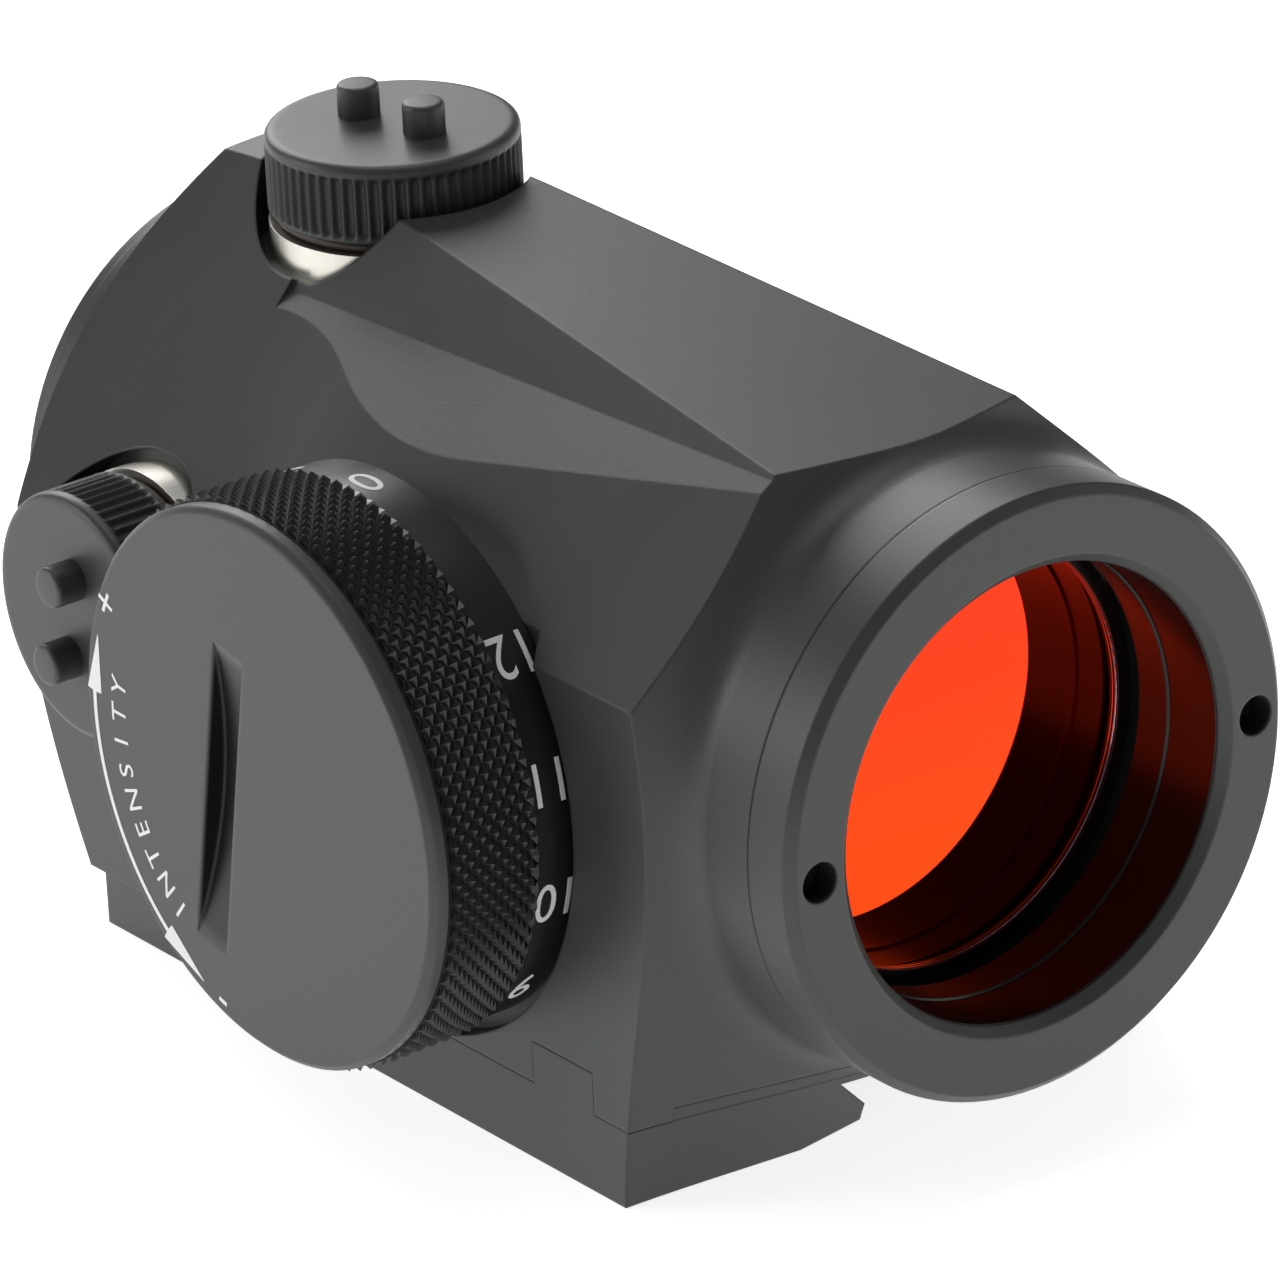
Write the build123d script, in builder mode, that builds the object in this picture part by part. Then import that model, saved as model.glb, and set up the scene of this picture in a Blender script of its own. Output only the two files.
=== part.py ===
"""Compact red dot sight with an 11 mm dovetail clamp, built piece by piece.

Frame: origin in the middle of the rail seat, +Y towards the eye, +X to the right
as seen by the user, +Z up.  Every length is in millimetres.

Lengths along the sight are given as stations, measured back from the front face of
the objective ring, and cross sections are given about the optical axis.
"""

import os
from math import cos, radians, sin

from build123d import *

os.makedirs("parts", exist_ok=True)

# ---------------------------------------------------------------- driving sizes
AXIS_HEIGHT = 16.0  # optical axis above the rail seat
FRONT = -31.0  # Y of the front face of the objective ring
RUN = 0.04  # radial running clearance of every shaft in its hole
GAP = 0.05  # gap between faces that slide past each other

RING_RADIUS = 14.92  # front ring and the round neck behind it
RING_LENGTH = 2.96
OBJECTIVE_RADIUS = 11.2  # open bore of the front ring
SPIGOT_RADIUS = 13.2
SPIGOT_END = 6.0
MAIN_BORE = 12.4
NECK_END = 6.0  # where the neck starts to flare
FLARE_RADIUS = 2.6
FLARE_ANGLE = 60.0

SIDE_LEFT = -16.5
SIDE_RIGHT = 15.8
BLOCK_LEFT = -18.1
BLOCK_TOP = 17.65
TOP_FRONT = 15.6  # height of the top panel over the axis at its front end
TOP_FRONT_STATION = 8.9
BLOCK_STATION = 38.5  # front of the turret block
TOP_FLAT_STATION = 41.5
HOUSING_END = 58.4
REAR_CONE = 0.75  # slope of the turned rear shoulder
REAR_CONE_RADIUS = 15.3
REAR_NECK_RADIUS = 14.5
RIGHT_CHAMFER = 21.85  # x + z on the right chamfer
LEFT_SLOPE = 47.25  # angle of the upper left face over the horizontal
LEFT_HEIGHT = 16.48  # its distance from the axis in front of the knob
SWEEP_START, SWEEP_CREST = 27.5, (34.0, 16.17)  # where it starts to fall: station and distance
SWEEP_POINTS = ((40.0, 15.33), (48.5, 14.57), (60.0, 15.85))  # hollow between the turrets

HOUSING_UNDERSIDE = -15.5
PAD_TOP = -14.75
PAD_HALF = 14.2
PAD_FRONT = 7.5
KEY_TOP = -13.3
KEY_FRONT, KEY_REAR = 13.3, 17.9
BASE_BOTTOM = -19.6
BASE_END = 53.2
RAIL_SEAT = -16.0
RAIL_HALF = 5.5  # half width of an 11 mm dovetail rail
TOOTH_DEPTH = 1.9

KNOB_STATION, KNOB_DROP = 28.3, -1.5
KNOB_RADIUS = 14.1
BAND_RADIUS = 13.7
KNOB_IN, BAND_OUT, KNOB_OUT = 15.45, 18.0, 23.1  # distances from the optical axis
CAP_FACE = 24.1
CAP_RADIUS = 13.8
POCKET_IN = 15.4
KNOB_POCKET = 14.4
BATTERY_RADIUS, BATTERY_HEIGHT = 10.0, 3.2
CAP_SKIRT_LOW = 20.0
BATTERY_LOW = 19.0
SLOT_CENTRE, SLOT_TILT = (-3.0, -1.45), 10.5
SLOT_LENGTH, SLOT_WIDTH, SLOT_DEPTH = 16.4, 2.3, 1.1
DETENTS = 14
DETENT_PLACE = (-8.2, -8.2)
BALL_RADIUS = 0.9
BOARD_RADIUS, BOARD_FLOOR = 9.2, 13.9
SPINDLE_RADIUS = 2.45

ELEVATION_STATION = 48.0
WINDAGE_STATION, WINDAGE_DROP = 48.9, -0.5
POCKET_RADIUS = 6.9
POCKET_FLOOR = 13.9
INSERT_RADIUS = 6.3
INSERT_TOP = 15.5
TURRET_CAP_RADIUS = 6.3
TURRET_CAP_LOW, TURRET_CAP_TOP = 16.1, 20.1
TURRET_PIN_RADIUS, TURRET_PIN_HEIGHT, TURRET_PIN_OFFSET = 1.05, 1.6, 2.2
TURRET_PIN_TILTS = {"elevation": 10.0, "windage": 80.0}

TUBE_RADIUS = 11.4
TUBE_BORE = 9.9
TUBE_START, TUBE_END = 6.9, 54.0
LENS_RADIUS = 10.6
LENS_SEAT = 12.5
PIVOT_STATION, PIVOT_RADIUS = 10.0, 0.6
GIMBAL_IN, GIMBAL_OUT = 11.5, 12.3
PLUNGER_RADIUS = 1.5
SPRING_POCKET = (44.5, 52.5)
WINDOW_RADIUS = 12.15

CLAMP_STATION = 31.5
CLAMP_HEIGHT = -17.55
JAW_FRONT, JAW_REAR = 17.0, 46.0
JAW_OUTER = 11.4
BLOCK_INNER = 13.5
CLAMP_SCREW_RADIUS, CLAMP_CLIP_RADIUS = 1.25, 1.42
GUIDE_STATIONS = (22.0, 41.0)
SCREW_X, SCREW_STATIONS = 9.5, (13.8, 49.8)
SCREW_RADIUS, SCREW_HEAD = 1.25, 2.3

OPTIC = Plane(origin=(0, FRONT, AXIS_HEIGHT), x_dir=(1, 0, 0), z_dir=(0, 1, 0))
KNOB = Plane(origin=(0, FRONT + KNOB_STATION, AXIS_HEIGHT + KNOB_DROP), x_dir=(0, -1, 0), z_dir=(-1, 0, 0))
ELEVATION = Plane(origin=(0, FRONT + ELEVATION_STATION, AXIS_HEIGHT), x_dir=(0, -1, 0), z_dir=(0, 0, 1))
WINDAGE = Plane(
    origin=(0, FRONT + WINDAGE_STATION, AXIS_HEIGHT + WINDAGE_DROP), x_dir=(0, -1, 0), z_dir=(-1, 0, 0)
)
TURRETS = {"elevation": ELEVATION, "windage": WINDAGE}
PITCH = Plane(origin=(0, FRONT + PIVOT_STATION, AXIS_HEIGHT), x_dir=(0, 1, 0), z_dir=(1, 0, 0))
YAW = Plane(origin=(0, FRONT + PIVOT_STATION, AXIS_HEIGHT), x_dir=(1, 0, 0), z_dir=(0, 0, 1))
CLAMP = Plane(origin=(0, FRONT + CLAMP_STATION, AXIS_HEIGHT + CLAMP_HEIGHT), x_dir=(0, 1, 0), z_dir=(1, 0, 0))
UNDER = Plane(origin=(0, FRONT, AXIS_HEIGHT), x_dir=(1, 0, 0), z_dir=(0, 0, 1))
SCREW_PLACES = [(x, s) for x in (-SCREW_X, SCREW_X) for s in SCREW_STATIONS]


# ---------------------------------------------------------------- helpers
def section(x, z):
    """Sketch point on OPTIC for a place x to the right and z above the axis."""
    return (x, -z)


def disc(plane, radius, low, high, mode=Mode.ADD):
    """Cylinder about a plane's normal between two heights."""
    with BuildSketch(plane.offset(low)) as face:
        Circle(radius)
    extrude(face.sketch, amount=high - low, mode=mode)


def collar(plane, outer, inner, low, high, mode=Mode.ADD):
    """Plain ring about a plane's normal between two heights."""
    with BuildSketch(plane.offset(low)) as face:
        Circle(outer)
        Circle(inner, mode=Mode.SUBTRACT)
    extrude(face.sketch, amount=high - low, mode=mode)


def spots(plane, places, radius, low, high, mode=Mode.ADD):
    """Round posts or holes at several places of a plane."""
    with BuildSketch(plane.offset(low)) as face:
        with Locations(*places):
            Circle(radius)
    extrude(face.sketch, amount=high - low, mode=mode)


def prism(points, low, high, mode=Mode.ADD):
    """Section given about the optical axis, run between two stations."""
    with BuildSketch(OPTIC.offset(low)) as face:
        with BuildLine():
            Polyline([section(x, z) for x, z in points], close=True)
        make_face()
    extrude(face.sketch, amount=high - low, mode=mode)


def slab(x, z, low, high, mode=Mode.ADD):
    """Box from a pair of x values, a pair of z values and two stations."""
    prism([(x[0], z[0]), (x[1], z[0]), (x[1], z[1]), (x[0], z[1])], low, high, mode)


def turn(points, mode=Mode.ADD):
    """Solid of revolution about the optical axis from (radius, station) points."""
    with BuildSketch(Plane.XY.offset(AXIS_HEIGHT)) as face:
        with BuildLine():
            Polyline([(r, FRONT + s) for r, s in points], close=True)
        make_face()
    revolve(face.sketch, axis=Axis((0, 0, AXIS_HEIGHT), (0, 1, 0)), mode=mode)


def trim_front():
    """Cut the turned front shoulder: a neck, a round flare, then a flat cone."""
    flare = (RING_RADIUS + FLARE_RADIUS, FRONT + NECK_END)
    flare_end = (
        flare[0] - FLARE_RADIUS * cos(radians(FLARE_ANGLE)),
        flare[1] + FLARE_RADIUS * sin(radians(FLARE_ANGLE)),
    )
    half_turn = radians(180 - FLARE_ANGLE / 2)
    flare_middle = (flare[0] + FLARE_RADIUS * cos(half_turn), flare[1] + FLARE_RADIUS * sin(half_turn))
    rim = (26.0, FRONT + 11.25)
    with BuildSketch(Plane.XY.offset(AXIS_HEIGHT)) as face:
        with BuildLine():
            Line((RING_RADIUS, FRONT - 1), (RING_RADIUS, FRONT + NECK_END))
            ThreePointArc((RING_RADIUS, FRONT + NECK_END), flare_middle, flare_end)
            TangentArc(flare_end, rim, tangent=(sin(radians(FLARE_ANGLE)), cos(radians(FLARE_ANGLE))))
            Line(rim, (rim[0], FRONT - 1))
            Line((rim[0], FRONT - 1), (RING_RADIUS, FRONT - 1))
        make_face()
    revolve(face.sketch, axis=Axis((0, 0, AXIS_HEIGHT), (0, 1, 0)), mode=Mode.SUBTRACT)


def trim_rear():
    """Cut the turned rear shoulder."""
    far = 27.0
    turn(
        [
            (REAR_CONE_RADIUS, HOUSING_END),
            (far, HOUSING_END - REAR_CONE * (far - REAR_CONE_RADIUS)),
            (far, HOUSING_END + 1),
            (REAR_CONE_RADIUS, HOUSING_END + 1),
        ],
        Mode.SUBTRACT,
    )


def seal(plane, major, minor, height):
    """O-ring about a plane's normal."""
    with BuildSketch(Plane(origin=plane.origin, x_dir=plane.x_dir, z_dir=-plane.y_dir)) as face:
        with Locations((major, height)):
            Circle(minor)
    revolve(face.sketch, axis=Axis(plane.origin, plane.z_dir))


def countersink(plane, places, hole, head, low, depth, mode=Mode.SUBTRACT):
    """Cone that narrows from a screw head's radius to its hole, at several places."""
    for x, y in places:
        middle = plane.offset(low).from_local_coords((x, y, 0))
        spot = Plane(origin=middle, x_dir=plane.x_dir, z_dir=plane.z_dir)
        with BuildSketch(spot) as wide:
            Circle(head)
        with BuildSketch(spot.offset(depth)) as narrow:
            Circle(hole)
        loft([wide.sketch, narrow.sketch], mode=mode)


def lens(radius, front, rear, front_rise, rear_rise):
    """Round lens; a rise is how far a face's rim lies behind its middle."""
    with BuildSketch(Plane.XY.offset(AXIS_HEIGHT)) as face:
        with BuildLine():
            TangentArc((0, FRONT + front), (radius, FRONT + front + front_rise), tangent=(1, 0))
            Line((radius, FRONT + front + front_rise), (radius, FRONT + rear + rear_rise))
            TangentArc((0, FRONT + rear), (radius, FRONT + rear + rear_rise), tangent=(1, 0))
            Line((0, FRONT + front), (0, FRONT + rear))
        make_face()
    revolve(face.sketch, axis=Axis((0, 0, AXIS_HEIGHT), (0, 1, 0)))


def plane_axis(plane):
    """Axis along a plane's normal."""
    return Axis(plane.origin, plane.z_dir)


def save(name, part):
    """Label a finished piece and write it to its own file."""
    part.label = name
    export_step(part, f"parts/{name}.step")


# ---------------------------------------------------------------- housing
right_top = (RIGHT_CHAMFER - BLOCK_TOP, BLOCK_TOP)
right_low = (SIDE_RIGHT, RIGHT_CHAMFER - SIDE_RIGHT)
VALLEY_START = Vector(-7.9, 9.2, 15.4)  # x, station, z of the crease left of the top panel
VALLEY_RUN = Vector(0.8, 34.7, -1.75)
VALLEY_WALL, VALLEY_FLOOR = 51.0, 33.5  # slopes of its two sides in degrees
VALLEY_REACH = 24.0
VALLEY_END = 38.2
VALLEY_ROUND_FRONT, VALLEY_ROUND_REAR = 0.15, 2.2  # radius along the bottom of the crease


def valley_section(face_plane, rounding):
    """Wedge section above a crease, with the crease itself rounded."""
    wall = (VALLEY_REACH * cos(radians(VALLEY_WALL)), -VALLEY_REACH * sin(radians(VALLEY_WALL)))
    floor = (-VALLEY_REACH * cos(radians(VALLEY_FLOOR)), VALLEY_REACH * sin(radians(VALLEY_FLOOR)))
    with BuildSketch(face_plane) as face:
        with BuildLine():
            Polyline([(0, 0), wall, (floor[0], wall[1]), floor], close=True)
        make_face()
        fillet(face.vertices().sort_by_distance(face_plane.origin)[0], radius=rounding)
    return face.sketch


def cut_valley():
    """Cut the crease beside the top panel; its rounding grows towards the rear."""
    start = Vector(VALLEY_START.X, FRONT + VALLEY_START.Y, AXIS_HEIGHT + VALLEY_START.Z)
    plane = Plane(origin=start, x_dir=(1, -VALLEY_RUN.X / VALLEY_RUN.Y, 0), z_dir=VALLEY_RUN)
    front = valley_section(plane.offset(-8), VALLEY_ROUND_FRONT)
    rear = valley_section(plane.offset(VALLEY_END), VALLEY_ROUND_REAR)
    loft([front, rear], ruled=True, mode=Mode.SUBTRACT)


def cut_left_slope():
    """Cut the upper left face: flat in front, then swept down into a wide hollow."""
    plane = Plane(
        origin=(0, FRONT, AXIS_HEIGHT),
        x_dir=(0, 1, 0),
        z_dir=(cos(radians(LEFT_SLOPE)), 0, sin(radians(LEFT_SLOPE))),
    )
    with BuildSketch(plane.offset(-30)) as face:
        with BuildLine():
            Polyline(SWEEP_POINTS[2], (60, 30), (0, 30), (0, LEFT_HEIGHT), (SWEEP_START, LEFT_HEIGHT))
            ThreePointArc((SWEEP_START, LEFT_HEIGHT), SWEEP_CREST, SWEEP_POINTS[0])
            ThreePointArc(*SWEEP_POINTS)
        make_face()
    extrude(face.sketch, amount=60, mode=Mode.SUBTRACT)


with BuildPart() as housing:
    prism(
        [
            right_top,
            right_low,
            (SIDE_RIGHT, HOUSING_UNDERSIDE),
            (SIDE_LEFT, HOUSING_UNDERSIDE),
            (SIDE_LEFT, BLOCK_TOP),
        ],
        RING_LENGTH,
        BLOCK_STATION,
    )
    prism(
        [
            right_top,
            right_low,
            (SIDE_RIGHT, HOUSING_UNDERSIDE),
            (BLOCK_LEFT, HOUSING_UNDERSIDE),
            (BLOCK_LEFT, BLOCK_TOP),
        ],
        BLOCK_STATION,
        HOUSING_END,
    )
    with BuildSketch(Plane.YZ.offset(-20)):
        with BuildLine():
            rise = (BLOCK_TOP - TOP_FRONT) / (TOP_FLAT_STATION - TOP_FRONT_STATION)
            low_end = AXIS_HEIGHT + TOP_FRONT - rise * (TOP_FRONT_STATION + 1)
            Polyline(
                [
                    (FRONT - 1, low_end),
                    (FRONT + TOP_FLAT_STATION, AXIS_HEIGHT + BLOCK_TOP),
                    (FRONT + TOP_FLAT_STATION, AXIS_HEIGHT + BLOCK_TOP + 2),
                    (FRONT - 1, AXIS_HEIGHT + BLOCK_TOP + 2),
                ],
                close=True,
            )
        make_face()
    extrude(amount=40, mode=Mode.SUBTRACT)
    cut_left_slope()
    cut_valley()
    trim_front()
    trim_rear()
    disc(OPTIC, REAR_NECK_RADIUS, HOUSING_END, 60.2)
    slab((-PAD_HALF, PAD_HALF), (HOUSING_UNDERSIDE, PAD_TOP), PAD_FRONT, BASE_END, Mode.SUBTRACT)
    slab((-20, 20), (HOUSING_UNDERSIDE - 1, KEY_TOP), KEY_FRONT, KEY_REAR, Mode.SUBTRACT)
    disc(OPTIC, MAIN_BORE, 0, 56.4, Mode.SUBTRACT)
    disc(OPTIC, SPIGOT_RADIUS + RUN, 0, SPIGOT_END, Mode.SUBTRACT)
    disc(OPTIC, 9.6, 50, 62, Mode.SUBTRACT)
    disc(OPTIC, WINDOW_RADIUS + GAP, 57.4, 62, Mode.SUBTRACT)
    disc(KNOB, KNOB_POCKET, POCKET_IN, 24, Mode.SUBTRACT)
    disc(KNOB, BOARD_RADIUS, BOARD_FLOOR, POCKET_IN, Mode.SUBTRACT)
    disc(KNOB, SPINDLE_RADIUS, 10, 14, Mode.SUBTRACT)
    spots(KNOB, [DETENT_PLACE], BALL_RADIUS + RUN, 9.5, POCKET_IN, Mode.SUBTRACT)
    for turret in TURRETS.values():
        disc(turret, POCKET_RADIUS, POCKET_FLOOR, 24, Mode.SUBTRACT)
        disc(turret, PLUNGER_RADIUS + RUN, 10, POCKET_FLOOR, Mode.SUBTRACT)
    for side in (-1, 1):
        disc(YAW, PIVOT_RADIUS + RUN, 11 * side, 13.7 * side, Mode.SUBTRACT)
    spots(UNDER, SCREW_PLACES, SCREW_RADIUS + RUN, -18, -10.6, Mode.SUBTRACT)
    collar(OPTIC, 12.95, MAIN_BORE - 1, *SPRING_POCKET, Mode.SUBTRACT)
save("housing", housing.part)

# ---------------------------------------------------------------- front ring
with BuildPart() as front_ring:
    turn(
        [
            (OBJECTIVE_RADIUS + 0.49, 0),
            (RING_RADIUS - 0.45, 0),
            (RING_RADIUS, 0.45),
            (RING_RADIUS, RING_LENGTH),
            (SPIGOT_RADIUS, RING_LENGTH),
            (SPIGOT_RADIUS, 3.7),
            (SPIGOT_RADIUS - 0.62, 3.7),
            (SPIGOT_RADIUS - 0.62, 4.5),
            (SPIGOT_RADIUS, 4.5),
            (SPIGOT_RADIUS, SPIGOT_END),
            (OBJECTIVE_RADIUS, SPIGOT_END),
            (OBJECTIVE_RADIUS, 0.49),
        ]
    )
    spots(OPTIC, [(-13.1, 0), (13.1, 0)], 1.0, 0, 1.5, Mode.SUBTRACT)
save("front_ring", front_ring.part)

with BuildPart() as front_seal:
    seal(OPTIC, SPIGOT_RADIUS - 0.3, 0.29, 4.1)
save("front_seal", front_seal.part)

# ---------------------------------------------------------------- rear window
with BuildPart() as rear_window:
    disc(OPTIC, WINDOW_RADIUS, 57.4, 59.0)
save("rear_window", rear_window.part)

with BuildPart() as rear_seal:
    collar(OPTIC, WINDOW_RADIUS, 10.6, 59.0, 59.35)
save("rear_seal", rear_seal.part)

with BuildPart() as rear_ring:
    turn(
        [
            (10.5, 59.35),
            (WINDOW_RADIUS, 59.35),
            (WINDOW_RADIUS, 60.2),
            (13.9, 60.2),
            (13.9, 61.5),
            (13.5, 61.9),
            (11.1, 61.9),
            (10.5, 61.3),
        ]
    )
save("rear_ring", rear_ring.part)

# ---------------------------------------------------------------- rail base and clamp
TOOTH_TIP = RAIL_HALF - TOOTH_DEPTH
TOOTH_LOW = RAIL_SEAT - TOOTH_DEPTH
LIP_LOW = TOOTH_LOW - 1.0
POCKET_FRONT, POCKET_REAR = JAW_FRONT - 0.2, JAW_REAR + 0.2

with BuildPart() as mount_base:
    slab((SIDE_LEFT, SIDE_RIGHT), (BASE_BOTTOM, HOUSING_UNDERSIDE), PAD_FRONT, BASE_END)
    slab((-PAD_HALF, PAD_HALF), (HOUSING_UNDERSIDE, PAD_TOP), PAD_FRONT, BASE_END)
    slab((SIDE_LEFT, SIDE_RIGHT), (HOUSING_UNDERSIDE, KEY_TOP), KEY_FRONT, KEY_REAR)
    prism(
        [
            (-RAIL_HALF, RAIL_SEAT),
            (-TOOTH_TIP, TOOTH_LOW),
            (-TOOTH_TIP, LIP_LOW),
            (-6.8, BASE_BOTTOM),
            (-6.8, BASE_BOTTOM - 1),
            (6.2, BASE_BOTTOM - 1),
            (6.2, RAIL_SEAT),
        ],
        0,
        BASE_END,
        Mode.SUBTRACT,
    )
    slab((5, BLOCK_INNER), (BASE_BOTTOM - 1, RAIL_SEAT), POCKET_FRONT, POCKET_REAR, Mode.SUBTRACT)
    trim_front()
    disc(KNOB, KNOB_POCKET, POCKET_IN, 24, Mode.SUBTRACT)
    disc(CLAMP, CLAMP_SCREW_RADIUS + RUN, BLOCK_INNER - 1, SIDE_RIGHT, Mode.SUBTRACT)
    spots(CLAMP, [(s - CLAMP_STATION, 0) for s in GUIDE_STATIONS], 1.0, BLOCK_INNER - 1, 14.8, Mode.SUBTRACT)
    spots(UNDER, SCREW_PLACES, SCREW_RADIUS + RUN, BASE_BOTTOM - 1, KEY_TOP + 1, Mode.SUBTRACT)
    countersink(UNDER, SCREW_PLACES, SCREW_RADIUS, SCREW_HEAD + GAP, BASE_BOTTOM, 1.1)
save("mount_base", mount_base.part)

for count, place in enumerate(SCREW_PLACES, 1):
    with BuildPart() as base_screw:
        spots(UNDER, [place], SCREW_RADIUS, BASE_BOTTOM, -11.0)
        countersink(UNDER, [place], SCREW_RADIUS, SCREW_HEAD, BASE_BOTTOM, 1.1, Mode.ADD)
        spot = Plane(origin=(place[0], FRONT + place[1], AXIS_HEIGHT + BASE_BOTTOM), z_dir=(0, 0, 1))
        with BuildSketch(spot):
            RegularPolygon(0.85, 6)
        extrude(amount=0.9, mode=Mode.SUBTRACT)
    save(f"base_screw_{count}", base_screw.part)

with BuildPart() as clamp_jaw:
    prism(
        [
            (RAIL_HALF, RAIL_SEAT - GAP),
            (TOOTH_TIP + GAP, TOOTH_LOW),
            (TOOTH_TIP + GAP, LIP_LOW),
            (6.8, BASE_BOTTOM),
            (JAW_OUTER, BASE_BOTTOM),
            (JAW_OUTER, RAIL_SEAT - GAP),
        ],
        JAW_FRONT,
        JAW_REAR,
    )
    disc(CLAMP, CLAMP_SCREW_RADIUS + RUN, 5.5, JAW_OUTER, Mode.SUBTRACT)
    disc(CLAMP, CLAMP_CLIP_RADIUS + GAP, JAW_OUTER - 0.6, JAW_OUTER, Mode.SUBTRACT)
    spots(CLAMP, [(s - CLAMP_STATION, 0) for s in GUIDE_STATIONS], 1.0 + RUN, 4.9, JAW_OUTER, Mode.SUBTRACT)
save("clamp_jaw", clamp_jaw.part)

for place, station in zip(("front", "rear"), GUIDE_STATIONS):
    with BuildPart() as guide_pin:
        spots(CLAMP, [(station - CLAMP_STATION, 0)], 1.0, 7.0, 14.8)
    save(f"clamp_guide_pin_{place}", guide_pin.part)

with BuildPart() as clamp_screw:
    disc(CLAMP, CLAMP_SCREW_RADIUS, 7.6, SIDE_RIGHT)
    disc(CLAMP, 2.0, SIDE_RIGHT + GAP, SIDE_RIGHT + 2.2)
    disc(CLAMP, CLAMP_SCREW_RADIUS, SIDE_RIGHT - 1, SIDE_RIGHT + 1)
    collar(CLAMP, CLAMP_SCREW_RADIUS + 1, 0.95, 13.0, 13.4, Mode.SUBTRACT)
    with BuildSketch(CLAMP.offset(SIDE_RIGHT + 1.0)):
        RegularPolygon(1.15, 6)
    extrude(amount=1.3, mode=Mode.SUBTRACT)
save("clamp_screw", clamp_screw.part)

with BuildPart() as clamp_screw_clip:
    collar(CLAMP, CLAMP_CLIP_RADIUS, 0.97, 13.05, 13.35)
    with BuildSketch(CLAMP.offset(13.0)):
        with Locations((0, -1.2)):
            Rectangle(1.3, 2.4)
    extrude(amount=0.5, mode=Mode.SUBTRACT)
save("clamp_screw_clip", clamp_screw_clip.part)

# ---------------------------------------------------------------- inner tube and its gimbal
with BuildPart() as inner_tube:
    collar(OPTIC, TUBE_RADIUS, TUBE_BORE, TUBE_START, TUBE_END)
    disc(OPTIC, LENS_RADIUS + GAP, TUBE_START, LENS_SEAT, Mode.SUBTRACT)
    slab((8, 12), (-1.2, 1.2), 43, 47, Mode.SUBTRACT)
    disc(PITCH, PIVOT_RADIUS, -TUBE_RADIUS, TUBE_RADIUS, Mode.SUBTRACT)
save("inner_tube", inner_tube.part)

with BuildPart() as objective_front_lens:
    lens(LENS_RADIUS, 7.2, 9.0, 0.35, 0.3)
save("objective_front_lens", objective_front_lens.part)

with BuildPart() as objective_rear_lens:
    lens(LENS_RADIUS, 9.05, 11.0, 0.3, -0.4)
save("objective_rear_lens", objective_rear_lens.part)

with BuildPart() as lens_retainer:
    collar(OPTIC, LENS_RADIUS, TUBE_BORE, 10.7, LENS_SEAT)
save("lens_retainer", lens_retainer.part)

with BuildPart() as emitter_block:
    slab((8.2, 11.2), (-1.2, 1.2), 43, 47)
save("emitter_block", emitter_block.part)

with BuildPart() as emitter_diode:
    spots(OPTIC, [(9.1, 0)], 0.6, 42.5, 43)
save("emitter_diode", emitter_diode.part)

with BuildPart() as gimbal_ring:
    collar(OPTIC, GIMBAL_OUT, GIMBAL_IN, PIVOT_STATION - 1.5, PIVOT_STATION + 1.5)
    disc(PITCH, PIVOT_RADIUS + RUN, -13, 13, Mode.SUBTRACT)
    disc(YAW, PIVOT_RADIUS, -13, 13, Mode.SUBTRACT)
save("gimbal_ring", gimbal_ring.part)

for place, side in (("top", 1), ("bottom", -1)):
    with BuildPart() as yaw_pin:
        disc(YAW, PIVOT_RADIUS, 11.6 * side, 13.5 * side)
    save(f"gimbal_yaw_pin_{place}", yaw_pin.part)

for place, side in (("right", 1), ("left", -1)):
    with BuildPart() as pitch_pin:
        disc(PITCH, PIVOT_RADIUS, 10.7 * side, 12.2 * side)
    save(f"gimbal_pitch_pin_{place}", pitch_pin.part)

with BuildPart() as tube_spring:
    collar(OPTIC, 12.5, 12.2, SPRING_POCKET[0] + 0.5, SPRING_POCKET[1] - 0.5)
    with BuildSketch(OPTIC.offset(SPRING_POCKET[0])):
        with BuildLine():
            Polyline([(0, 0), (18, 7), (7, 18)], close=True)
        make_face()
    extrude(amount=8, mode=Mode.INTERSECT)
save("tube_spring", tube_spring.part)

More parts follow.
